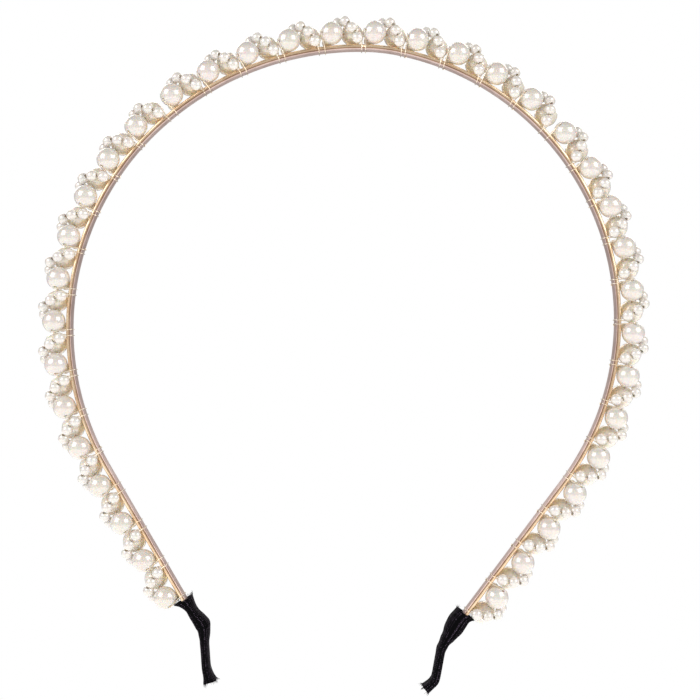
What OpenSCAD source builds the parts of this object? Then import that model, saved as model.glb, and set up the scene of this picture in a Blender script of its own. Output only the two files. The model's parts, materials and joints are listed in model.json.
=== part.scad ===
// Beaded headband: a springy metal strip with pearls bound along its outer face
// and a woven fabric sleeve over each tip.
// X runs from the wearer's left tip to the right tip as seen from the front, Y runs to the rear,
// Z runs up to the crown. The origin is the middle of the head opening.

/* [Strip] */
// Width of the metal strip, front to rear
strip_w = 5; // [4.6:0.1:5.4]
// Thickness of the metal strip
strip_t = 1.2; // [1.1:0.05:1.25]
// Height of the inner face above the origin at the crown
crown_z = 62.6; // [60:0.1:66]
// Distance of the crown point from the middle of the opening
crown_x = 3.3; // [0:0.1:5]

/* [Bends] */
// Inner radius of the short tight bend at the crown
crown_bend_r = 43; // [41:1:50]
// Angle of the short tight bend at the crown
crown_bend_a = 10.5; // [8:0.5:12]
// Inner radius of the right side
right_bend_r = 63; // [61:0.5:65]
// Angle of the right side
right_bend_a = 115.7; // [112:0.1:118]
// Inner radius of the flatter left shoulder
left_shoulder_r = 68.8; // [66:0.2:71]
// Angle of the flatter left shoulder
left_shoulder_a = 43; // [40:0.5:46]
// Inner radius of the left side
left_bend_r = 63.4; // [61:0.2:65]
// Angle of the left side
left_bend_a = 78; // [76:0.5:80]
// Length of the straight right leg above its tip
right_leg_l = 45; // [44:0.2:46.4]
// Length of the straight left leg above its tip
left_leg_l = 42.6; // [41.6:0.2:44]
// Radius of the outward bend near each tip
tip_bend_r = 9; // [8:0.5:12]
// Angle of the outward bend near each tip
tip_bend_a = 26; // [20:1:28]
// Length of the strip past the outward bend
tip_l = 5.5; // [5:0.25:6]

/* [Beads] */
// Diameter of a large pearl
pearl_d = 5.4; // [5.2:0.05:5.45]
// Diameter of a seed pearl
seed_d = 2.6; // [2.4:0.05:2.62]
// Distance from one bead cluster to the next, along the line of large pearls
pitch = 10.06; // [10.04:0.02:10.4]
// Height of the large pearls' centres above the strip's outer face
pearl_rise = 2.85; // [2.8:0.05:3.2]
// Diameter of the binding wire
wire_d = 0.3; // [0.26:0.01:0.34]
// Diameter of the drilled holes in the pearls
hole_d = 0.75; // [0.7:0.05:0.8]

/* [Clusters] */
// Shift of the whole row of clusters along the band, to the right
row_shift = -0.1; // [-1:0.1:1]
// Extra room between clusters where the strip flexes
flex_room = 0.95; // [0.9:0.05:1.2]
// Gap in the strip where it flexes
flex_gap = 0.3; // [0.25:0.05:0.4]

/* [Sleeves] */
// Length of a fabric sleeve
sleeve_l = 20.4; // [20:0.2:21.4]
// Width of a fabric sleeve over the strip's width
sleeve_w = 6.2; // [6:0.1:6.8]
// Inward turn of the left sleeve's empty end
left_end_a = 12; // [5:1:20]
// Inward turn of the right sleeve's empty end
right_end_a = 40; // [30:1:45]

/* [Hidden] */
// A bend is [inner radius, angle]; a straight run is [0, length]; a negative pair bends outwards.
RIGHT_BENDS = [[crown_bend_r, crown_bend_a], [right_bend_r, right_bend_a], [0, right_leg_l],
               [-tip_bend_r, -tip_bend_a], [0, tip_l]];
LEFT_BENDS = [[left_shoulder_r, left_shoulder_a], [left_bend_r, left_bend_a], [0, left_leg_l],
              [-tip_bend_r, -tip_bend_a], [0, tip_l]];

// Distances u along the band are measured from the crown point, on the line of the large pearls'
// centres, and heights h outwards from the strip's inner face.
PLACE_STEP = 1.5;
pearl_h = strip_t + pearl_rise;

// Clusters on each half of the crown, on each leg, and on each side in all
crown_count = 5;
leg_count = 13;
side_count = crown_count + leg_count;

// Distances from the crown point to the flexing place and to the row's end on one side, -1 or 1
function flex_u(side) = crown_count * pitch + flex_room / 2 + side * row_shift;
function row_end_u(side) = side_count * pitch + flex_room + side * row_shift;

// One cluster, seen from above the strip: X along the band, Y to the rear, Z outwards.
// The front and rear pearls lie on one diagonal, the seed pearls arch over the other.
FRONT_PEARL = [-2.45, -1.7, 0];
REAR_PEARL = [2.45, 1.7, 0];
FRONT_SEEDS = [[3.5, -2.65, -1.5], [2.4, -2.35, 0.95], [0.9, -1, 2.65]];
SEEDS = concat(FRONT_SEEDS, [for (i = [2:-1:0]) half_turn(FRONT_SEEDS[i])]);
ARCH_CENTRE = [0, 0, -1.4];
arch_lift = 0.4;

// One wire ties a cluster: it wraps under the strip, runs through the large pearls, wraps under
// the strip again and comes back through the seed pearls to meet its other end.
wrap_x = 4.15;
wire_room = 0.05;
WIRE_SIDES = 6;
wrap_y = strip_w / 2 + wire_d / 2 + wire_room;
wrap_h = -wire_d / 2 - wire_room;
pearl_reach = pearl_d / 2 + wire_d;

function half_turn(p) = [-p[0], -p[1], p[2]];
function unit(v) = v / norm(v);

// Middle of the gap between two seed pearls, lifted to the outside of the arch
function gap_point(a, b) =
    let (middle = (a + b) / 2)
    middle + arch_lift * unit(middle - ARCH_CENTRE);

REAR_EXIT = REAR_PEARL + pearl_reach * unit(REAR_PEARL);
SEED_GAPS = [for (i = [0:4]) gap_point(SEEDS[i], SEEDS[i + 1])];

// Point just under the strip for the cluster at u, at a distance x along and y to the rear;
// the strip curves away from the cluster's own X axis.
function under_strip(u, x, y) =
    let (here = place(u, pearl_h), there = over(place(u + x, pearl_h), wrap_h),
         dx = there[0] - here[0], dz = there[1] - here[1],
         c = cos(here[2]), s = sin(here[2]))
    [dx * c - dz * s, y, dx * s + dz * c];

function seed_thread(u) =
    concat([under_strip(u, wrap_x, -wrap_y)], SEED_GAPS, [under_strip(u, -wrap_x, wrap_y)]);

function wire_path(u) =
    concat([under_strip(u, -wrap_x, -wire_d / 2), under_strip(u, -wrap_x, -wrap_y), half_turn(REAR_EXIT),
            REAR_EXIT, under_strip(u, wrap_x, wrap_y)],
           seed_thread(u), [under_strip(u, -wrap_x, wire_d / 2)]);

// Length of one bend along the line at height h
function bend_length(bend, h) = bend[0] == 0 ? bend[1] : (bend[0] + h) * bend[1] * PI / 180;

// Length of the first count bends along the line at height h
function bends_length(bends, h, count) =
    count == 0 ? 0 : bend_length(bends[count - 1], h) + bends_length(bends, h, count - 1);

// Place [x, z, heading] after a distance d into one bend, along the line at height h
function into_bend(bend, d, h, from) =
    let (r = bend[0] + h,
         turn = bend[0] == 0 ? 0 : d / r * 180 / PI,
         step = bend[0] == 0 ? d * [cos(from[2]), -sin(from[2])]
                             : r * [sin(from[2] + turn) - sin(from[2]), cos(from[2] + turn) - cos(from[2])])
    [from[0] + step[0], from[1] + step[1], from[2] + turn];

// Place after a distance u from the crown along the line at height h
function walk(bends, u, h, from, i = 0) =
    let (here = bend_length(bends[i], h))
    u <= here || i == len(bends) - 1
        ? into_bend(bends[i], u, h, from)
        : walk(bends, u - here, h, into_bend(bends[i], here, h, from), i + 1);

function right_place(u, h) = walk(RIGHT_BENDS, u, h, [crown_x, crown_z + h, 0]);
function left_place(u, h) =
    let (p = walk(LEFT_BENDS, u, h, [-crown_x, crown_z + h, 0]))
    [-p[0], p[1], -p[2]];
function place(u, h) = u < 0 ? left_place(-u, h) : right_place(u, h);

// Middle of cluster number i, counted from 1 outwards from the crown on one side, -1 or 1
function cluster_u(side, i) = side * ((i - 0.5) * pitch + (i > crown_count ? flex_room : 0)) + row_shift;

CROWN_CLUSTERS = [for (side = [-1, 1], i = [1:crown_count]) cluster_u(side, i)];
LEFT_CLUSTERS = [for (i = [crown_count + 1:side_count]) cluster_u(-1, i)];
RIGHT_CLUSTERS = [for (i = [crown_count + 1:side_count]) cluster_u(1, i)];

module on_band(u, h) {
    p = place(u, h);
    translate([p[0], 0, p[1]])
        rotate([0, p[2], 0])
            children();
}

// Places along one side from u0 to u1: at whole steps counted from the crown and at every bend's end,
// so that two runs over the same stretch share their places
function places(bends, side, u0, u1) =
    let (ends = [for (i = [1:len(bends)]) bends_length(bends, pearl_h, i)],
         first = ceil(u0 / PLACE_STEP + 0.5),
         last = floor(u1 / PLACE_STEP - 0.5),
         inner_ends = [for (e = ends) if (e > u0 && e < u1) e],
         steps = merged([for (k = [first:last]) k * PLACE_STEP], inner_ends))
    [for (u = concat([u0], steps, [u1]))
        walk(bends, u, pearl_h, [side * crown_x, crown_z + pearl_h, 0])];

// The steps u with every step near an end e moved onto it
function merged(steps, ends) =
    [for (u = steps)
        let (near = [for (e = ends) if (abs(e - u) <= PLACE_STEP / 2) e])
        len(near) > 0 ? near[0] : u];

// Point [x, z] at height h over the inner face
function over(p, h) = [p[0] + (h - pearl_h) * sin(p[2]), p[1] + (h - pearl_h) * cos(p[2])];

// A strip through a row of places, grown by some room on every face
module strip_through(row, room = 0) {
    inner = [for (p = row) over(p, -room)];
    outer = [for (i = [len(row) - 1:-1:0]) over(row[i], strip_t + room)];
    rotate([90, 0, 0])
        linear_extrude(strip_w + 2 * room, center = true)
            polygon(concat(inner, outer));
}

module mirrored(side) {
    mirror([side < 0 ? 1 : 0, 0, 0])
        children();
}

module crown_strip() {
    left = places(LEFT_BENDS, -1, 0, flex_u(-1) - flex_gap / 2);
    right = places(RIGHT_BENDS, 1, 0, flex_u(1) - flex_gap / 2);
    left_row = [for (i = [len(left) - 1:-1:1]) [-left[i][0], left[i][1], -left[i][2]]];
    color("rosybrown")
        strip_through(concat(left_row, right));
}

module leg_strip(bends, side) {
    color("rosybrown")
        mirrored(side)
            strip_through(places(bends, side, flex_u(side) + flex_gap / 2, bends_length(bends, pearl_h, len(bends))));
}

// Turns what points up to point along v
module pointing(v) {
    rotate([0, acos(v[2] / norm(v)), atan2(v[1], v[0])])
        children();
}

// A ball drilled through its centre along v
module drilled_ball(centre, d, v) {
    translate(centre)
        pointing(v)
            difference() {
                sphere(d = d, $fn = 48);
                cylinder(h = 2 * d, d = hole_d, center = true, $fn = 24);
            }
}

module pearls(clusters, centre) {
    color("ivory")
        for (u = clusters)
            on_band(u, pearl_h)
                drilled_ball(centre, pearl_d, REAR_PEARL);
}

module seed_strand(u) {
    thread = seed_thread(u);
    color("seashell")
        on_band(u, pearl_h)
            for (i = [0:len(SEEDS) - 1])
                drilled_ball(SEEDS[i], seed_d, thread[i + 1] - thread[i]);
}

// The wire's first ring lies square to its first run; every later ring is the ring before it,
// carried along the run to the mitre plane at the next bend.
function first_ring(path, r) =
    let (along = unit(path[1] - path[0]), side = unit(cross(along, [1, 0.3, 0.2])), up = cross(side, along))
    [for (i = [0:WIRE_SIDES - 1])
        let (a = 360 * i / WIRE_SIDES)
        path[0] + r * (cos(a) * side + sin(a) * up)];

function next_ring(path, k, ring) =
    let (along = unit(path[k] - path[k - 1]),
         onward = k == len(path) - 1 ? along : unit(path[k + 1] - path[k]),
         mitre = along + onward)
    [for (p = ring) p + along * ((path[k] - p) * mitre) / (along * mitre)];

// All the rings' points from ring k on, where ring is the one before it
function wire_rings(path, k, ring) =
    k == len(path) ? ring : concat(ring, wire_rings(path, k + 1, next_ring(path, k, ring)));

// A wire along a path, closed at both ends
module wire(path) {
    n = WIRE_SIDES;
    rings = wire_rings(path, 1, first_ring(path, wire_d / 2));
    last = len(path) - 1;
    walls = [for (k = [0:last - 1], i = [0:n - 1])
                [k * n + i, (k + 1) * n + i, (k + 1) * n + (i + 1) % n, k * n + (i + 1) % n]];
    caps = [[for (i = [0:n - 1]) i], [for (i = [n - 1:-1:0]) last * n + i]];
    polyhedron(rings, concat(walls, caps), convexity = 6);
}

module binding_wires(clusters) {
    color("goldenrod")
        for (u = clusters)
            on_band(u, pearl_h)
                wire(wire_path(u));
}

// Each station is [distance from the sleeve's mouth, shift of its middle away from the head,
// half of its thickness]. The left sleeve sags towards the head, the right one is full at its mouth.
LEFT_STATIONS = [[0, 0.3, 2.3], [1, -0.1, 1.7], [2.5, -0.3, 1.25], [4, -0.35, 1.3], [5.5, -0.6, 1.55],
                 [7, -0.75, 1.7], [8.5, -0.5, 1.45], [10, -0.15, 1.15], [11.5, 0, 1], [13.5, 0, 0.97],
                 [16.5, 0, 0.97], [17.7, 0, 1.02], [19, 0, 1.15], [sleeve_l, 0, 1.55]];
RIGHT_STATIONS = [[0, 0.1, 2.4], [1, -0.25, 2.15], [2.5, -0.3, 2.25], [4, -0.15, 2.2], [5.5, -0.05, 1.9],
                  [7, 0.1, 1.45], [8.5, 0.1, 1.15], [10, 0, 1.05], [11.5, 0, 1], [13.5, 0, 1],
                  [16.5, 0, 1], [17.6, 0, 1.05], [18.8, 0, 1.02], [sleeve_l, 0, 1.15]];
SLEEVE_SIDES = 12;
LEFT_END_BEND = [8, left_end_a];
RIGHT_END_BEND = [2.6, right_end_a];
strip_room = 0.06;
mouth_room = 2;

// One ring of points round the sleeve, as a flattened oval
function sleeve_ring(bends, side, u, shift, half_t) =
    let (h = strip_t / 2, p = walk(bends, u, h, [side * crown_x, crown_z + h, 0]))
    [for (i = [0:SLEEVE_SIDES - 1])
        let (a = 360 * i / SLEEVE_SIDES,
             c = sign(cos(a)) * sqrt(abs(cos(a))),
             s = sign(sin(a)) * sqrt(abs(sin(a))),
             out = shift + half_t * s)
        [p[0] + out * sin(p[2]), sleeve_w / 2 * c, p[1] + out * cos(p[2])]];

// The sleeve follows the strip, then turns by its end bend where it is empty
module sleeve_body(bends, side, stations, end_bend) {
    h = strip_t / 2;
    mouth_u = row_end_u(side) - bends_length(bends, pearl_h, 2) + bends_length(bends, h, 2);
    line = concat(bends, [end_bend, [0, sleeve_l]]);
    points = [for (st = stations) each sleeve_ring(line, side, mouth_u + st[0], st[1], st[2])];
    n = SLEEVE_SIDES;
    last = len(stations) - 1;
    walls = [for (k = [0:last - 1], i = [0:n - 1])
                [k * n + i, k * n + (i + 1) % n, (k + 1) * n + (i + 1) % n, (k + 1) * n + i]];
    caps = [[for (i = [n - 1:-1:0]) i], [for (i = [0:n - 1]) last * n + i]];
    polyhedron(points, concat(walls, caps), convexity = 4);
}

module sleeve(bends, side, stations, end_bend) {
    strip_end_u = bends_length(bends, pearl_h, len(bends));
    color("black")
        mirrored(side)
            difference() {
                sleeve_body(bends, side, stations, end_bend);
                strip_through(places(bends, side, row_end_u(side) - mouth_room, strip_end_u + strip_room), strip_room);
            }
}

function strand_name(side, i) = str(side, "_seed_strand_", i < 10 ? "0" : "", i);

crown_strip();
leg_strip(LEFT_BENDS, -1);  // left_strip
leg_strip(RIGHT_BENDS, 1);  // right_strip
pearls(CROWN_CLUSTERS, FRONT_PEARL);  // crown_front_pearls
pearls(LEFT_CLUSTERS, FRONT_PEARL);  // left_front_pearls
pearls(RIGHT_CLUSTERS, FRONT_PEARL);  // right_front_pearls
pearls(CROWN_CLUSTERS, REAR_PEARL);  // crown_rear_pearls
pearls(LEFT_CLUSTERS, REAR_PEARL);  // left_rear_pearls
pearls(RIGHT_CLUSTERS, REAR_PEARL);  // right_rear_pearls
binding_wires(CROWN_CLUSTERS);  // crown_binding_wires
binding_wires(LEFT_CLUSTERS);  // left_binding_wires
binding_wires(RIGHT_CLUSTERS);  // right_binding_wires
sleeve(LEFT_BENDS, -1, LEFT_STATIONS, LEFT_END_BEND);  // left_sleeve
sleeve(RIGHT_BENDS, 1, RIGHT_STATIONS, RIGHT_END_BEND);  // right_sleeve
for (i = [1:side_count]) {
    seed_strand(cluster_u(-1, i));
    seed_strand(cluster_u(1, i));
}
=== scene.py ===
"""The looks of the beaded headband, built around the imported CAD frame.

Every place comes from the frame: the strip's line, the beads' centres and holes, and the sleeves' boxes.
Lengths are in metres. X runs from the left tip to the right tip, Y to the rear, Z up to the crown.
"""
import json
import math
import random

import bmesh
import bpy
import numpy as np
from mathutils import Matrix, Vector


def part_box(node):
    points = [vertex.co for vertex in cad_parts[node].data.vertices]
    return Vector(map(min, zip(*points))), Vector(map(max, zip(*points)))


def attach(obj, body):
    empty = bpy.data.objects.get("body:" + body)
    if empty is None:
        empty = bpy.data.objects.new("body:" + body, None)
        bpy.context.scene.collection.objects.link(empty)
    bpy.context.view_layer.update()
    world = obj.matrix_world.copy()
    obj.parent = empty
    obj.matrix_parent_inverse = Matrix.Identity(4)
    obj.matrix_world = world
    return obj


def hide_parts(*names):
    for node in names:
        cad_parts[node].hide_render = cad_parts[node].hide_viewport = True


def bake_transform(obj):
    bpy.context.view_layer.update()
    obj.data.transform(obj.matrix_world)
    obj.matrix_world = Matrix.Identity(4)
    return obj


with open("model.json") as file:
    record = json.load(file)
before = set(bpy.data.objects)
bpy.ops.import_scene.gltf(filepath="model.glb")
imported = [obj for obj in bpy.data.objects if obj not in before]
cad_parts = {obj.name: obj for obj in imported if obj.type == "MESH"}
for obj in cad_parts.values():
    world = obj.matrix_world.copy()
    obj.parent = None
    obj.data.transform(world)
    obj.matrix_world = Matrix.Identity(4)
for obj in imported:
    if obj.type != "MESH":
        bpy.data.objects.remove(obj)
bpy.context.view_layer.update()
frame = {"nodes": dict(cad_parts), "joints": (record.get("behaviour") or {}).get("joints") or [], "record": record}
MM = 0.001
rng = random.Random(36)
REAR = Vector((0, 1, 0))


# ---------------------------------------------------------------- reading the frame

def merged_copy(node):
    """A bmesh of a CAD node with its split vertices joined again."""
    bm = bmesh.new()
    bm.from_mesh(frame["nodes"][node].data)
    bmesh.ops.remove_doubles(bm, verts=bm.verts, dist=2e-6)
    bm.normal_update()
    return bm


def islands(bm):
    """The faces of each separate solid."""
    left = set(bm.faces)
    found = []
    while left:
        stack = [left.pop()]
        island = []
        while stack:
            face = stack.pop()
            island.append(face)
            for edge in face.edges:
                for other in edge.link_faces:
                    if other in left:
                        left.remove(other)
                        stack.append(other)
        found.append(island)
    return found


def balls(node):
    """Centre, radius, hole axis and hole radius of each drilled ball in a node."""
    bm = merged_copy(node)
    found = []
    for island in islands(bm):
        points = np.array([v.co[:] for v in {v for f in island for v in f.verts}])
        low, high = points.min(0), points.max(0)
        centre = (low + high) / 2
        radius = (high - low).max() / 2
        wall = [f for f in island if f.normal.dot(f.calc_center_median() - Vector(centre)) < 0.2 * radius]
        normals = np.array([f.normal[:] for f in wall])
        spread = normals.T @ normals
        axis = np.linalg.eigh(spread)[1][:, 0]
        rim = points - centre
        off_axis = np.linalg.norm(rim - np.outer(rim @ axis, axis), axis=1)
        found.append((Vector(centre), radius, Vector(axis).normalized(), float(off_axis.min())))
    bm.free()
    return found


def round_angle(p):
    """Clockwise angle of a point round the head opening, from the crown; the left side is negative."""
    return math.atan2(p[0], p[2])


def inner_line(node):
    """Points along the middle of a strip's inner face, from left to right."""
    bm = merged_copy(node)
    found = {}
    for face in bm.faces:
        middle = face.calc_center_median()
        to_head = Vector((-middle.x, 0, -middle.z)).normalized()
        if abs(face.normal.y) < 0.5 and face.normal.dot(to_head) > 0.3:
            for v in face.verts:
                if v.co.y > 0:
                    found[v.index] = Vector((v.co.x, 0, v.co.z))
    bm.free()
    return sorted(found.values(), key=round_angle)


LEFT_LINE = inner_line("left_strip")
CROWN_LINE = inner_line("crown_strip")
RIGHT_LINE = inner_line("right_strip")
STRIP_HALF_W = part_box("crown_strip")[1].y
STRIP_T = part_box("crown_strip")[1].z - max(p.z for p in CROWN_LINE)


def curve_point(a, b, c, d, t):
    """Catmull-Rom curve from b to c at t, with a before and d after them."""
    return 0.5 * (2 * b + (c - a) * t + (2 * a - 5 * b + 4 * c - d) * t * t
                  + (3 * b - a - 3 * c + d) * t ** 3)


def smooth_line(points, step):
    """The points joined by a Catmull-Rom curve and sampled about every step."""
    ends = [points[0] * 2 - points[1], *points, points[-1] * 2 - points[-2]]
    samples = []
    for a, b, c, d in zip(ends, ends[1:], ends[2:], ends[3:]):
        count = max(1, round((c - b).length / step))
        for k in range(count):
            t = k / count
            samples.append(curve_point(a, b, c, d, t))
    return [*samples, points[-1].copy()]


def outward(line, i):
    """Unit vector away from the head at point i of a line that runs clockwise."""
    along = line[min(i + 1, len(line) - 1)] - line[max(i - 1, 0)]
    return along.normalized().cross(REAR)


# ---------------------------------------------------------------- mesh helpers

def make_object(name, vertices, faces, materials):
    """A new smooth-shaded mesh object in the scene."""
    mesh = bpy.data.meshes.new(name)
    mesh.from_pydata([tuple(v) for v in vertices], [], faces)
    mesh.validate()
    for material in materials:
        mesh.materials.append(material)
    mesh.shade_smooth()
    mesh.update()
    obj = bpy.data.objects.new(name, mesh)
    bpy.context.scene.collection.objects.link(obj)
    return obj


def sweep_rings(rings):
    """Vertices and faces of a skin over rings of equal size, with a cap on each end."""
    n = len(rings[0])
    faces = [(k * n + i, k * n + (i + 1) % n, (k + 1) * n + (i + 1) % n, (k + 1) * n + i)
             for k in range(len(rings) - 1) for i in range(n)]
    faces.append(tuple(range(n - 1, -1, -1)))
    faces.append(tuple((len(rings) - 1) * n + i for i in range(n)))
    return [p for ring in rings for p in ring], faces


def tube(path, radius, sides, taper=None):
    """Vertices and faces of a round tube along a path, carried without twist."""
    along = [(path[min(i + 1, len(path) - 1)] - path[max(i - 1, 0)]).normalized() for i in range(len(path))]
    side = along[0].orthogonal().normalized()
    rings = []
    for i, p in enumerate(path):
        side = (side - along[i] * side.dot(along[i])).normalized()
        up = along[i].cross(side)
        r = radius * (taper(i / (len(path) - 1)) if taper else 1)
        rings.append([p + r * (math.cos(a) * side + math.sin(a) * up)
                      for a in (2 * math.pi * k / sides for k in range(sides))])
    return sweep_rings(rings)


def rounded(points, radius, steps=4):
    """A polyline with each corner replaced by a short curve."""
    path = [points[0]]
    for a, b, c in zip(points, points[1:], points[2:]):
        back = min(radius, (a - b).length * 0.45)
        on = min(radius, (c - b).length * 0.45)
        start = b + (a - b).normalized() * back
        end = b + (c - b).normalized() * on
        path += [start.lerp(b, k / steps).lerp(b.lerp(end, k / steps), k / steps) for k in range(steps + 1)]
    return [*path, points[-1]]


class Builder:
    """Gathers several pieces of geometry into one mesh, with a random colour for each."""

    def __init__(self):
        self.vertices, self.faces, self.tones = [], [], []

    def add(self, vertices, faces):
        start = len(self.vertices)
        tone = (rng.random(), rng.random(), rng.random(), 1)
        self.vertices += vertices
        self.faces += [tuple(i + start for i in f) for f in faces]
        self.tones += [tone] * len(vertices)

    def build(self, name, material):
        obj = make_object(name, self.vertices, self.faces, [material])
        tones = obj.data.attributes.new("tone", "FLOAT_COLOR", "POINT")
        tones.data.foreach_set("color", [c for tone in self.tones for c in tone])
        return obj


# ---------------------------------------------------------------- materials

def new_material(name):
    """A material with its node tree and its main shader."""
    material = bpy.data.materials.new(name)
    material.use_nodes = True
    return material, material.node_tree, material.node_tree.nodes["Principled BSDF"]


def node(tree, kind, **values):
    """A new node; a value goes to the input of that name, or to the property if there is none."""
    made = tree.nodes.new(kind)
    for key, value in values.items():
        label = key.replace("_", " ").title()
        if label in made.inputs:
            made.inputs[label].default_value = value
        else:
            setattr(made, key, value)
    return made


def noise(tree, scale, detail=2.0, stretch=(1, 1, 1)):
    """Noise over the piece's own coordinates."""
    coordinates = tree.nodes.new("ShaderNodeTexCoord")
    mapping = tree.nodes.new("ShaderNodeMapping")
    mapping.inputs["Scale"].default_value = stretch
    texture = node(tree, "ShaderNodeTexNoise", scale=scale, detail=detail)
    tree.links.new(coordinates.outputs["Object"], mapping.inputs["Vector"])
    tree.links.new(mapping.outputs[0], texture.inputs["Vector"])
    return texture.outputs["Fac"]


def ramp(tree, factor, *stops):
    """A colour ramp with (position, colour) stops."""
    made = tree.nodes.new("ShaderNodeValToRGB")
    elements = made.color_ramp.elements
    while len(elements) < len(stops):
        elements.new(0.5)
    for element, (position, colour) in zip(elements, stops):
        element.position = position
        element.color = (*colour, 1)
    tree.links.new(factor, made.inputs["Fac"])
    return made.outputs["Color"]


def mix(tree, factor, a, b, blend="MIX"):
    """Two colours mixed; each of the three inputs is a socket or a plain value."""
    made = tree.nodes.new("ShaderNodeMix")
    made.data_type = "RGBA"
    made.blend_type = blend
    for socket, value in ((made.inputs["Factor"], factor), (made.inputs["A"], a), (made.inputs["B"], b)):
        if isinstance(value, bpy.types.NodeSocket):
            tree.links.new(value, socket)
        else:
            socket.default_value = value
    return made.outputs["Result"]


def value_range(tree, factor, low, high):
    """A 0 to 1 factor stretched over a range."""
    made = tree.nodes.new("ShaderNodeMapRange")
    tree.links.new(factor, made.inputs["Value"])
    made.inputs["To Min"].default_value = low
    made.inputs["To Max"].default_value = high
    return made.outputs["Result"]


def add_bump(tree, shader, height, distance, strength):
    """Fine relief on a shader's surface."""
    made = tree.nodes.new("ShaderNodeBump")
    made.inputs["Distance"].default_value = distance
    made.inputs["Strength"].default_value = strength
    tree.links.new(height, made.inputs["Height"])
    tree.links.new(made.outputs["Normal"], shader.inputs["Normal"])


def nacre(name, pale, warm, rose, cloud_scale, depth, painted_glow):
    """Imitation pearl: cream body with faint clouds, light carried a little through it by subsurface, and a weak
    painted glow that stands in for fill light, under a glossy coat.
    """
    material, tree, shader = new_material(name)
    tone = tree.nodes.new("ShaderNodeAttribute")
    tone.attribute_name = "tone"
    split = tree.nodes.new("ShaderNodeSeparateColor")
    tree.links.new(tone.outputs["Color"], split.inputs[0])
    body = mix(tree, split.outputs["Red"], (*pale, 1), (*warm, 1))
    cloud = noise(tree, cloud_scale, 3)
    clouds = ramp(tree, cloud, (0.36, (0.96, 1.0, 0.97)), (0.5, (1, 1, 1)), (0.64, rose))
    tree.links.new(mix(tree, 0.8, body, clouds, "MULTIPLY"), shader.inputs["Base Color"])
    smear = noise(tree, cloud_scale * 2.4, 4)
    tree.links.new(value_range(tree, smear, 0.2, 0.34), shader.inputs["Roughness"])
    shader.inputs["Metallic"].default_value = 0.14
    shader.inputs["Subsurface Weight"].default_value = depth
    shader.inputs["Subsurface Radius"].default_value = (1.0, 0.72, 0.42)
    shader.inputs["Subsurface Scale"].default_value = 1.6 * MM
    # Painted fill light: a weak warm emission, though a pearl gives no light of its own.
    shader.inputs["Emission Color"].default_value = (1.0, 0.86, 0.64, 1)
    shader.inputs["Emission Strength"].default_value = painted_glow
    shader.inputs["Specular IOR Level"].default_value = 0.6
    shader.inputs["Coat Weight"].default_value = 1.0
    shader.inputs["Coat Roughness"].default_value = 0.05
    shader.inputs["Coat IOR"].default_value = 1.85
    add_bump(tree, shader, noise(tree, cloud_scale * 6, 2), 0.00002, 0.35)
    return material


def metal(name, colour, dark, roughness, grain, grain_depth):
    """Plated metal with fine drawing lines and a little tarnish."""
    material, tree, shader = new_material(name)
    tarnish = ramp(tree, noise(tree, 260, 4), (0.38, dark), (0.6, colour))
    tree.links.new(tarnish, shader.inputs["Base Color"])
    shader.inputs["Metallic"].default_value = 1.0
    tree.links.new(value_range(tree, noise(tree, 900, 3), roughness * 0.8, roughness * 1.25),
                   shader.inputs["Roughness"])
    add_bump(tree, shader, noise(tree, grain, 2, (1, 6, 1)), grain_depth, 0.5)
    return material


# pale, warm and rose tones, then cloud scale, depth and painted glow (emission standing in for fill light)
LARGE_PEARL = nacre("large_pearl_nacre", (0.79, 0.75, 0.715), (0.79, 0.74, 0.68), (1.0, 0.96, 0.975),
                    330, 0.5, 0.015)
# The rear pearls are the same pearls as the front ones: their lighter, warmer base and stronger glow are painted
# fill light in the shade of the front pearls and a painted golden reflection of the strip.
REAR_PEARL_PAINTED_FILL = nacre("rear_pearl_nacre", (0.90, 0.85, 0.77), (0.90, 0.835, 0.735), (1.0, 0.965, 0.965),
                   330, 0.55, 0.08)
SEED_PEARL = nacre("seed_pearl_nacre", (0.83, 0.80, 0.77), (0.83, 0.785, 0.735), (1.0, 0.97, 0.98),
                   620, 0.15, 0.03)
# The strip is one rose-gold metal: the inner face's darker mauve colour is painted shade and reflection, while its
# satin roughness is real.
STRIP_INNER = metal("strip_satin_inner", (0.66, 0.52, 0.48), (0.57, 0.43, 0.39), 0.42, 2500, 0.00001)
STRIP_EDGE = metal("strip_polished_edge", (1.0, 0.79, 0.55), (0.93, 0.66, 0.42), 0.25, 2500, 0.000004)
STRIP_OUTER = metal("strip_bright_outer", (1.0, 0.84, 0.56), (0.98, 0.76, 0.46), 0.4, 2500, 0.000006)
# The dark brown line along each edge of the strip is painted: a dark reflection put into the base colour, not wear
# on the metal.
STRIP_PAINTED_DARK_LINE = metal("strip_worn_corner", (0.42, 0.26, 0.16), (0.27, 0.15, 0.09), 0.45, 2500, 0.00001)
GOLD_WIRE = metal("gold_wire", (1.0, 0.91, 0.76), (0.97, 0.82, 0.62), 0.25, 5000, 0.000003)


def wave(tree, coordinate, direction, count):
    """Even bands across the sleeve's own weave coordinates."""
    texture = node(tree, "ShaderNodeTexWave", scale=1.0, distortion=0.0)
    texture.bands_direction = direction
    mapping = tree.nodes.new("ShaderNodeMapping")
    mapping.inputs["Scale"].default_value = (count, count, count)
    tree.links.new(coordinate, mapping.inputs["Vector"])
    tree.links.new(mapping.outputs[0], texture.inputs["Vector"])
    return texture.outputs["Fac"]


def math_node(tree, operation, a, b):
    """The result of a sum or product of two sockets or plain values."""
    made = tree.nodes.new("ShaderNodeMath")
    made.operation = operation
    for socket, value in zip(made.inputs, (a, b)):
        if isinstance(value, bpy.types.NodeSocket):
            tree.links.new(value, socket)
        else:
            socket.default_value = value
    return made.outputs[0]


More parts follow.
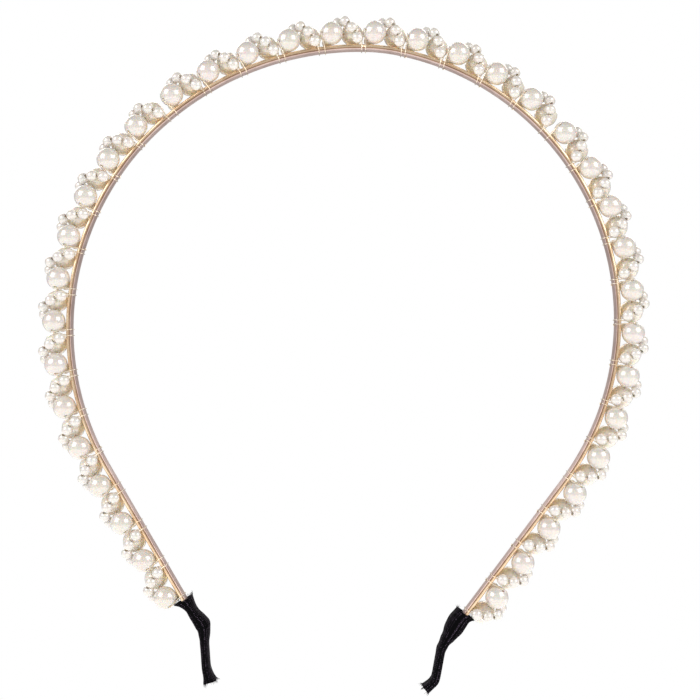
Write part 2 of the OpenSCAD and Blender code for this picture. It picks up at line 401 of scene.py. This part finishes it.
def sleeve_fabric():
    """Black woven ribbon: lengthwise ribs crossed by fine threads, with a faint violet-grey sheen, partly from the
    shader's sheen and partly painted as highlights on the thread tops.
    """
    material, tree, shader = new_material("black_ribbon_weave")
    coordinate = tree.nodes.new("ShaderNodeTexCoord").outputs["UV"]
    ribs = wave(tree, coordinate, "X", 8)
    picks = wave(tree, coordinate, "Y", 16)
    cross = math_node(tree, "ADD", 0.45, math_node(tree, "MULTIPLY", picks, 0.55))
    weave = math_node(tree, "MULTIPLY", ribs, cross)
    fuzz = noise(tree, 3800, 3)
    lit = math_node(tree, "MULTIPLY", weave, fuzz)
    # Painted highlight: the violet-grey top stop colours the raised thread tops like glints of light.
    colour = ramp(tree, lit, (0.3, (0.001, 0.001, 0.0015)), (0.42, (0.004, 0.003, 0.005)),
                  (0.56, (0.16, 0.12, 0.18)))
    tree.links.new(colour, shader.inputs["Base Color"])
    tree.links.new(value_range(tree, fuzz, 0.6, 0.9), shader.inputs["Roughness"])
    shader.inputs["Specular IOR Level"].default_value = 0.06
    shader.inputs["Sheen Weight"].default_value = 0.03
    shader.inputs["Sheen Roughness"].default_value = 0.4
    shader.inputs["Sheen Tint"].default_value = (0.55, 0.46, 0.62, 1)
    height = math_node(tree, "ADD", weave, math_node(tree, "MULTIPLY", noise(tree, 7000, 2), 0.5))
    add_bump(tree, shader, height, 0.00012, 0.9)
    return material


def thread_fabric():
    """Loose ends of the same black yarn."""
    material, tree, shader = new_material("black_loose_thread")
    colour = ramp(tree, noise(tree, 2600, 2), (0.35, (0.006, 0.006, 0.008)), (0.68, (0.045, 0.038, 0.05)))
    tree.links.new(colour, shader.inputs["Base Color"])
    shader.inputs["Roughness"].default_value = 0.8
    shader.inputs["Specular IOR Level"].default_value = 0.25
    return material


BLACK_FABRIC = sleeve_fabric()
BLACK_THREAD = thread_fabric()


# ---------------------------------------------------------------- the strip

CORNER = 0.5 * MM
CORNER_STEPS = 6
SATIN_STEPS = 4
LINE_STEP = 0.5 * MM
STRIP_LOOKS = [STRIP_INNER, STRIP_EDGE, STRIP_OUTER, STRIP_PAINTED_DARK_LINE]
INNER, EDGE, OUTER, PAINTED_DARK_LINE = range(len(STRIP_LOOKS))


def strip_profile():
    """Rounded oblong (depth, height over the inner face) and the material of each of its sides.

    The satin inner face, whose darker mauve colour is painted shade, runs on into its corners, up to a painted
    dark reflection line along each edge.
    """
    half_w, top = STRIP_HALF_W, STRIP_T
    corners = [(half_w - CORNER, CORNER, -90), (half_w - CORNER, top - CORNER, 0),
               (CORNER - half_w, top - CORNER, 90), (CORNER - half_w, CORNER, 180)]
    points = []
    for y, z, start in corners:
        for k in range(CORNER_STEPS + 1):
            a = math.radians(start + 90 * k / CORNER_STEPS)
            points.append((y + CORNER * math.cos(a), z + CORNER * math.sin(a)))
    kinds = [EDGE] * len(points)
    turn = CORNER_STEPS + 1
    satin = [INNER] * SATIN_STEPS
    # These corner facets carry the painted dark reflection line.
    line = [PAINTED_DARK_LINE] * (CORNER_STEPS - SATIN_STEPS)
    kinds[:CORNER_STEPS] = satin + line
    kinds[3 * turn:3 * turn + CORNER_STEPS] = line + satin
    kinds[2 * turn - 1] = OUTER
    kinds[-1] = INNER
    return points, kinds


def make_strip(name, line, replaced, hinge):
    """Half of the strip, from its tip to the crown, in one piece that does not bend at the hinge."""
    profile, kinds = strip_profile()
    rings = []
    for i, p in enumerate(line):
        out = outward(line, i)
        rings.append([p + REAR * y + out * z for y, z in profile])
    vertices, faces = sweep_rings(rings)
    obj = make_object(name, vertices, faces, STRIP_LOOKS)
    n = len(profile)
    for index, polygon in enumerate(obj.data.polygons):
        polygon.material_index = kinds[index % n] if index < n * (len(rings) - 1) else EDGE
    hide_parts(*replaced)
    i = min(range(len(line)), key=lambda k: (line[k] - hinge).length)
    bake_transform(obj)


FLEX = {j["child"]: Vector(j["pos_m"]) for j in frame["joints"]}
top = len(CROWN_LINE) // 2
left_half = smooth_line(LEFT_LINE + CROWN_LINE[:top + 1], LINE_STEP)
right_half = smooth_line(CROWN_LINE[top:] + RIGHT_LINE, LINE_STEP)
make_strip("strip_left_half", left_half, ["left_strip", "crown_strip"], FLEX["left_leg"])
make_strip("strip_right_half", right_half, ["right_strip"], FLEX["right_leg"])


# ---------------------------------------------------------------- the beads

def drilled_profile(radius, hole, steps):
    """Half outline (distance from the axis, height) of a drilled ball, with a small lip at each hole."""
    lip = hole * 0.35
    first = math.asin((hole + lip) / radius)
    arc = [first + (math.pi - 2 * first) * k / steps for k in range(steps + 1)]
    outline = [(radius * math.sin(a), radius * math.cos(a)) for a in arc]
    top = radius * math.cos(first)
    rim = [(hole + lip * 0.3, top + lip * 0.12), (hole, top - lip * 0.55)]
    wall = [(hole, top * 0.4), (hole, -top * 0.4)]
    return [*outline, *[(r, -z) for r, z in rim], *wall[::-1], *rim[::-1]]


def bead(centre, radius, axis, hole, around, steps):
    """A drilled pearl, turned at random about its hole and very slightly out of round."""
    profile = drilled_profile(radius, hole, steps)
    turn = axis.to_track_quat("Z", "Y").to_matrix() @ Matrix.Rotation(rng.uniform(0, math.tau), 3, "Z")
    flattened = rng.uniform(-0.006, 0.0)
    n = len(profile)
    vertices = []
    for k in range(around):
        a = math.tau * k / around
        squeeze = 1 + flattened * (1 + math.cos(2 * a)) / 2
        vertices += [centre + turn @ Vector((r * math.cos(a) * squeeze, r * math.sin(a) * squeeze, z))
                     for r, z in profile]
    faces = []
    for k in range(around):
        here, there = k * n, ((k + 1) % around) * n
        faces += [(here + i, here + (i + 1) % n, there + (i + 1) % n, there + i) for i in range(n)]
    return vertices, faces


def make_beads(name, cad_node, body, material, slot, around, steps):
    """All the beads of one CAD node as one piece; returns what was read of each."""
    found = sorted(balls(cad_node), key=lambda b: round_angle(b[0]))
    gathered = Builder()
    for centre, radius, axis, hole in found:
        gathered.add(*bead(centre, radius, axis, hole, around, steps))
    obj = gathered.build(name, material)
    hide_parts(cad_node)
    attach(obj, body)
    return found


PARTS = (("left", "left_leg"), ("crown", "crown"), ("right", "right_leg"))
PEARL_STEPS = 44, 26
SEED_STEPS = 26, 16
BODY_OF = {n: body for body, nodes in frame["record"]["behaviour"]["bodies"].items() for n in nodes}
PEARL_R = balls("crown_front_pearls")[0][1]
clusters = []
for part, body in PARTS:
    fronts = make_beads(f"pearls_front_{part}", f"{part}_front_pearls", body, LARGE_PEARL, "large_pearl",
                        *PEARL_STEPS)
    rears = make_beads(f"pearls_rear_{part}", f"{part}_rear_pearls", body, REAR_PEARL_PAINTED_FILL, "large_pearl",
                       *PEARL_STEPS)
    clusters += [{"part": part, "front": f[0], "rear": r[0], "seeds": []}
                 for f, r in zip(fronts, rears)]

for cad_node in sorted(n for n in frame["nodes"] if "_seed_strand_" in n):
    name = "seeds_" + cad_node.replace("_seed_strand", "")
    seeds = make_beads(name, cad_node, BODY_OF[cad_node], SEED_PEARL, "seed_pearl", *SEED_STEPS)
    middle_of = sum((s[0] for s in seeds), Vector()) / len(seeds)
    nearest = min(clusters, key=lambda c: ((c["front"] + c["rear"]) / 2 - middle_of).length)
    nearest["seeds"] = [s[0] for s in seeds]


# ---------------------------------------------------------------- the binding wires

WIRE_R = 0.11 * MM
WRAP_REACH = 4.15 * MM
WIRE_CLEAR = 0.03 * MM
ARCH_LIFT = 0.35 * MM
ARCH_DROP = 1.4 * MM
WIRE_BEND = 0.5 * MM
WIRE_SIDES = 8
CLUSTER_REACH = 12 * MM
BAND_LINE = left_half + right_half


def wire_path(cluster):
    """The loop of one cluster's wire: round the strip, through both large pearls, back through the seeds."""
    front, rear = cluster["front"], cluster["rear"]
    origin = (front + rear) / 2
    along = Vector((rear.x - front.x, 0, rear.z - front.z)).normalized()
    out = along.cross(REAR)
    near = [i for i, p in enumerate(BAND_LINE) if (p - origin).length < CLUSTER_REACH]

    def by_strip(x, y, height):
        """A point beside the strip's inner face at a distance x along from the cluster."""
        i = min(near, key=lambda k: abs((BAND_LINE[k] - origin).dot(along) - x))
        return BAND_LINE[i] + REAR * y + outward(BAND_LINE, i) * height

    under = -WIRE_R - WIRE_CLEAR
    edge = STRIP_HALF_W + WIRE_R + WIRE_CLEAR
    middle = STRIP_T * 0.6
    exit_reach = (rear - origin) * (1 + (PEARL_R + 1.6 * WIRE_R) / (rear - origin).length)
    seeds = sorted(cluster["seeds"], key=lambda s: -(s - origin).dot(along))
    gaps = []
    for a, b in zip(seeds, seeds[1:]):
        halfway = (a + b) / 2
        gaps.append(halfway + (halfway - origin + out * ARCH_DROP).normalized() * ARCH_LIFT)
    return [by_strip(-WRAP_REACH, edge * 0.5, under), by_strip(-WRAP_REACH, -edge, under),
            by_strip(-WRAP_REACH, -edge, middle), origin - exit_reach, origin + exit_reach,
            by_strip(WRAP_REACH, edge, middle), by_strip(WRAP_REACH, edge, under),
            by_strip(WRAP_REACH, -edge, under), by_strip(WRAP_REACH, -edge, middle), *gaps,
            by_strip(-WRAP_REACH, edge, middle), by_strip(-WRAP_REACH, edge, under),
            by_strip(-WRAP_REACH + 2.2 * WIRE_R, edge * 0.1, under)]


for part, body in PARTS:
    gathered = Builder()
    for cluster in (c for c in clusters if c["part"] == part):
        gathered.add(*tube(rounded(wire_path(cluster), WIRE_BEND), WIRE_R, WIRE_SIDES))
    wires = gathered.build(f"wires_{part}", GOLD_WIRE)
    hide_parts(f"{part}_binding_wires")
    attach(wires, body)


# ---------------------------------------------------------------- the fabric sleeves

SLEEVE_ROUND = 96
CLOTH_T = 0.28 * MM
STRIP_ROOM = 0.05 * MM
TIP_SEARCH = 399
LINING_STEPS = 40
LINING_POWER = 0.5
SKIN_STEPS = 110
SKIN_POWER = 0.52
OPEN_LIP = 1.6 * MM
HEM = ((0.5, 0.0), (1.0, 0.15 * MM), (1.1, 0.7 * MM))
MOUTH_THREADS = 46
END_THREADS = 54
THREAD_R = 0.045 * MM
MOUTH_REACH, END_REACH = 1.6 * MM, 1.8 * MM
BEND_AT, BEND_REACH = 8.2 * MM, 2.4 * MM
FOLD_STEP, TWIST_STEP = 0.42 * MM, 3.1 * MM


def sleeve_stations(cad_node):
    """Centre, heading and half thickness at each ring of the CAD sleeve, from its mouth down."""
    points = [v.co.copy() for v in frame["nodes"][cad_node].data.vertices]
    half_w = max(p.y for p in points)
    centres = []
    for p in points:
        if p.y > half_w - 1e-6 and all((p - c).length > 1e-5 for c in centres):
            centres.append(p)
    centres = sorted((Vector((p.x, 0, p.z)) for p in centres), key=lambda p: -p.z)
    middles = [Vector((p.x, 0, p.z)) for p in points if abs(p.y) < 1e-6]
    stations = []
    for c in centres:
        across = max((m - c for m in middles if any((m + other - 2 * c).length < 1e-5 for other in middles)),
                     key=lambda v: v.length)
        along = across.normalized().cross(REAR)
        stations.append((c, along if along.z < 0 else -along, across.length))
    return stations, half_w


def between(stations, s):
    """Centre, heading and half thickness at a distance s from the mouth, smoothly joined."""
    run = 0.0
    for k in range(len(stations) - 1):
        span = (stations[k + 1][0] - stations[k][0]).length
        if s <= run + span or k == len(stations) - 2:
            t = min(1.2, (s - run) / span)
            picked = [stations[max(0, min(len(stations) - 1, k + j))] for j in (-1, 0, 1, 2)]
            centre, along, half_t = (curve_point(*four, t) for four in zip(*picked))
            return centre, along.normalized(), half_t
        run += span


def sleeve_length(stations):
    """Length along the stations, from the mouth to the cut end."""
    return sum((b[0] - a[0]).length for a, b in zip(stations, stations[1:]))


def oval(centre, out, half_w, half_t, power):
    """A ring of points, an oval squared off by a power below 1."""
    ring = []
    for k in range(SLEEVE_ROUND):
        a = math.tau * k / SLEEVE_ROUND
        c, s = math.cos(a), math.sin(a)
        y = half_w * math.copysign(abs(c) ** power, c)
        z = half_t * math.copysign(abs(s) ** power, s)
        ring.append(centre + REAR * y + out * z)
    return ring


def ruffled(ring, centre, s, length, seed):
    """The ring with the ribs, cross folds and waves of loose woven tube."""
    loose = math.exp(-s / MOUTH_REACH) + 0.7 * math.exp(-(length - s) / END_REACH)
    bend = math.exp(-((s - BEND_AT) / BEND_REACH) ** 2)
    made = []
    for k, p in enumerate(ring):
        a = math.tau * k / len(ring)
        rib = 0.022 * math.cos(24 * a)
        fold = 0.085 * bend * math.sin(s / FOLD_STEP + 2.2 * math.sin(a + seed))
        lengthwise = 0.05 * math.sin(3 * a + seed + s / TWIST_STEP) * math.sin(s / length * math.pi)
        flare = 0.13 * loose * math.sin(7 * a + 1.7 * seed) + 0.07 * loose * math.sin(13 * a + seed)
        away = p - centre
        made.append(p + away.normalized() * (rib + fold + lengthwise + flare) * MM)
    return made


def fray(rim, heading, centre, count, gathered):
    """Short loose threads that stand out of a cut edge."""
    for _ in range(count):
        root = rim[rng.randrange(len(rim))]
        outwards = (root - centre).normalized()
        lean = Vector([rng.uniform(-0.5, 0.5) for _ in range(3)])
        way = (heading + outwards * rng.uniform(0.0, 0.7) + lean).normalized()
        curl = Vector([rng.uniform(-0.5, 0.5) for _ in range(3)])
        length = rng.uniform(0.3, 0.85) * MM
        start = root - heading * 0.1 * MM
        path = [start + (way * t + curl * t * t * 0.6) * length for t in (0, 0.35, 0.7, 1)]
        gathered.add(*tube(path, THREAD_R, 5, lambda t: 1 - 0.6 * t))


def strip_middle(line, from_tip):
    """Point on a strip's line at a distance from the line's first end, and the way outwards there."""
    i = 0
    while from_tip > (line[i + 1] - line[i]).length and i < len(line) - 3:
        from_tip -= (line[i + 1] - line[i]).length
        i += 1
    t = from_tip / (line[i + 1] - line[i]).length
    out = outward(line, i).lerp(outward(line, i + 1), t).normalized()
    return line[i].lerp(line[i + 1], t), out


class SleeveShape:
    """Where one CAD sleeve runs, with the phase of its ruffles."""

    def __init__(self, cad_node, seed):
        self.stations, self.half_w = sleeve_stations(cad_node)
        self.length = sleeve_length(self.stations)
        self.seed = seed

    def at(self, s):
        """Centre, heading, way outwards and half thickness at a distance s from the mouth."""
        centre, along, half_t = between(self.stations, s)
        return centre, along, REAR.cross(along) * -1, half_t

    def ring(self, s, inset, power, depth=0):
        """A ruffled ring, drawn in by an inset and set back by a depth."""
        centre, along, out, half_t = self.at(s)
        smooth = oval(centre - along * depth, out, self.half_w - inset, half_t - inset, power)
        return ruffled(smooth, centre, s, self.length, self.seed)


def lining_rings(shape, line, outside):
    """Rings and marks of the inner cloth, from the strip's end out to the mouth.

    The cloth is tight on the strip at first and opens near the mouth.
    """
    tip = line[0] + outward(line, 0) * outside * (STRIP_T / 2)
    tries = [k * shape.length / TIP_SEARCH for k in range(TIP_SEARCH + 1)]
    strip_end = min(tries, key=lambda s: (shape.at(s)[0] - tip).length) + STRIP_ROOM
    rings, marks = [], []
    for k in range(LINING_STEPS + 1):
        s = strip_end * (1 - k / LINING_STEPS) ** 1.25
        on_strip, strip_out = strip_middle(line, strip_end - STRIP_ROOM - s)
        strip_out *= outside
        tight = oval(on_strip + strip_out * (STRIP_T / 2), strip_out, STRIP_HALF_W + STRIP_ROOM,
                     STRIP_T / 2 + STRIP_ROOM, 0.3)
        t = min(1, s / OPEN_LIP)
        t = t * t * (3 - 2 * t)
        rings.append([q.lerp(p, t) for p, q in zip(tight, shape.ring(s, CLOTH_T, LINING_POWER))])
        marks.append(-s)
    return rings, marks


def lay_weave(obj, marks):
    """Weave coordinates for a sleeve: once round it by u, and each ring's own mark by v."""
    uv = obj.data.uv_layers.new(name="weave")
    n = SLEEVE_ROUND
    for polygon in obj.data.polygons:
        seam = polygon.index % n == n - 1
        for corner in polygon.loop_indices:
            v = obj.data.loops[corner].vertex_index
            u = 1.0 if seam and v % n == 0 else (v % n) / n
            uv.data[corner].uv = (u, marks[v // n])


def make_sleeve(side, body, line, seed):
    """A sleeve of double cloth over one tip; the line starts at that tip."""
    shape = SleeveShape(f"{side}_sleeve", seed)
    length = shape.length
    rings, marks = lining_rings(shape, line, 1 if side == "left" else -1)
    first_outside = len(rings)
    for k in range(SKIN_STEPS + 1):
        s = length * k / SKIN_STEPS
        rings.append(shape.ring(s, 0, SKIN_POWER))
        marks.append(s)
    end_ring = rings[-1]
    for inset, depth in HEM:
        rings.append(shape.ring(length, CLOTH_T * inset, SKIN_POWER, depth))
        marks.append(length)
    vertices, faces = sweep_rings(rings)
    obj = make_object(f"sleeve_{side}", vertices, faces, [BLACK_FABRIC])
    lay_weave(obj, [mark / length for mark in marks])
    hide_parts(f"{side}_sleeve")
    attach(obj, body)

    gathered = Builder()
    mouth, mouth_along = shape.at(0)[:2]
    fray(rings[first_outside], -mouth_along, mouth, MOUTH_THREADS, gathered)
    end, end_along = shape.at(length)[:2]
    fray(end_ring, end_along, end, END_THREADS, gathered)
    loose = gathered.build(f"sleeve_{side}_loose_threads", BLACK_THREAD)
    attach(loose, body)


make_sleeve("left", "left_leg", left_half, 0.4)
make_sleeve("right", "right_leg", right_half[::-1], 2.9)


# ---------------------------------------------------------------- camera, lights and stage

CAMERA_LENS = 101.5
CAMERA_PLACE = (0.98 * MM, -460 * MM, -7.2 * MM)
CAMERA_ROLL = 0.71
BOX_DISTANCE, BOX_WIDTH, BOX_HEIGHT = 0.7, 0.48, 0.44
KEY_RADIANCE = 3.0
BACK_RADIANCE = 1.6
FLOOR_Z = -0.16
FLOOR_SIDE, FLOOR_FRONT, FLOOR_REAR = 0.55, -0.55, 0.34


def make_camera():
    """The camera in front, a long way off for its field, and rolled a little."""
    camera = bpy.data.cameras.new("camera")
    camera.lens = CAMERA_LENS
    camera.clip_end = 20
    obj = bpy.data.objects.new("camera", camera)
    obj.location = CAMERA_PLACE
    obj.rotation_euler = (math.radians(90), -math.radians(CAMERA_ROLL), 0)
    bpy.context.scene.collection.objects.link(obj)
    bpy.context.scene.camera = obj


def softbox(name, azimuth, elevation, radiance, colour):
    """A rectangular light that faces the origin; azimuth 0 is in front, positive to the right."""
    light = bpy.data.lights.new(name, "AREA")
    light.shape = "RECTANGLE"
    light.size = BOX_WIDTH
    light.size_y = BOX_HEIGHT
    light.energy = radiance * math.pi * BOX_WIDTH * BOX_HEIGHT
    light.color = colour
    obj = bpy.data.objects.new(name, light)
    a, e = math.radians(azimuth), math.radians(elevation)
    away = Vector((math.sin(a) * math.cos(e), -math.cos(a) * math.cos(e), math.sin(e)))
    obj.location = away * BOX_DISTANCE
    obj.rotation_euler = away.to_track_quat("Z", "Y").to_euler()
    bpy.context.scene.collection.objects.link(obj)


def make_world():
    """Soft surroundings, pale in front and darker behind and overhead; the camera sees them white."""
    world = bpy.data.worlds.new("studio")
    bpy.context.scene.world = world
    world.use_nodes = True
    tree = world.node_tree
    background = tree.nodes["Background"]
    path = tree.nodes.new("ShaderNodeLightPath")
    split = tree.nodes.new("ShaderNodeSeparateXYZ")
    tree.links.new(tree.nodes.new("ShaderNodeTexCoord").outputs["Generated"], split.inputs[0])
    around = ramp(tree, split.outputs["Y"], (0.0, (0.54667, 0.53667, 0.535)), (0.6, (0.38, 0.37, 0.365)))
    overhead = ramp(tree, split.outputs["Z"], (0.3, (1, 1, 1)), (0.9, (0.5, 0.48, 0.45)))
    around = mix(tree, 1.0, around, overhead, "MULTIPLY")
    seen = mix(tree, path.outputs["Is Camera Ray"], around, (1, 1, 1, 1))
    tree.links.new(seen, background.inputs["Color"])


def make_stage():
    """A pale floor under the headband."""
    material, tree, shader = new_material("pale_paper")
    paper = ramp(tree, noise(tree, 40, 3), (0.3, (0.93, 0.93, 0.93)), (0.7, (0.95, 0.95, 0.95)))
    tree.links.new(paper, shader.inputs["Base Color"])
    shader.inputs["Roughness"].default_value = 0.9
    shader.inputs["Emission Color"].default_value = (1, 1, 1, 1)
    shader.inputs["Emission Strength"].default_value = 0.42
    vertices = [(-FLOOR_SIDE, FLOOR_FRONT, FLOOR_Z), (FLOOR_SIDE, FLOOR_FRONT, FLOOR_Z),
                (FLOOR_SIDE, FLOOR_REAR, FLOOR_Z), (-FLOOR_SIDE, FLOOR_REAR, FLOOR_Z)]
    make_object("floor", vertices, [(0, 1, 2, 3)], [material])


make_camera()
make_world()
make_stage()
softbox("key_left", -58, 27, KEY_RADIANCE, (1.0, 0.985, 0.985))
softbox("key_right", 54, 27, KEY_RADIANCE, (1.0, 0.99, 0.975))
softbox("back_left", -155, 30, BACK_RADIANCE, (1.0, 0.985, 0.97))
softbox("back_right", 155, 30, BACK_RADIANCE, (1.0, 0.985, 0.97))
bpy.context.scene.view_settings.view_transform = "Standard"
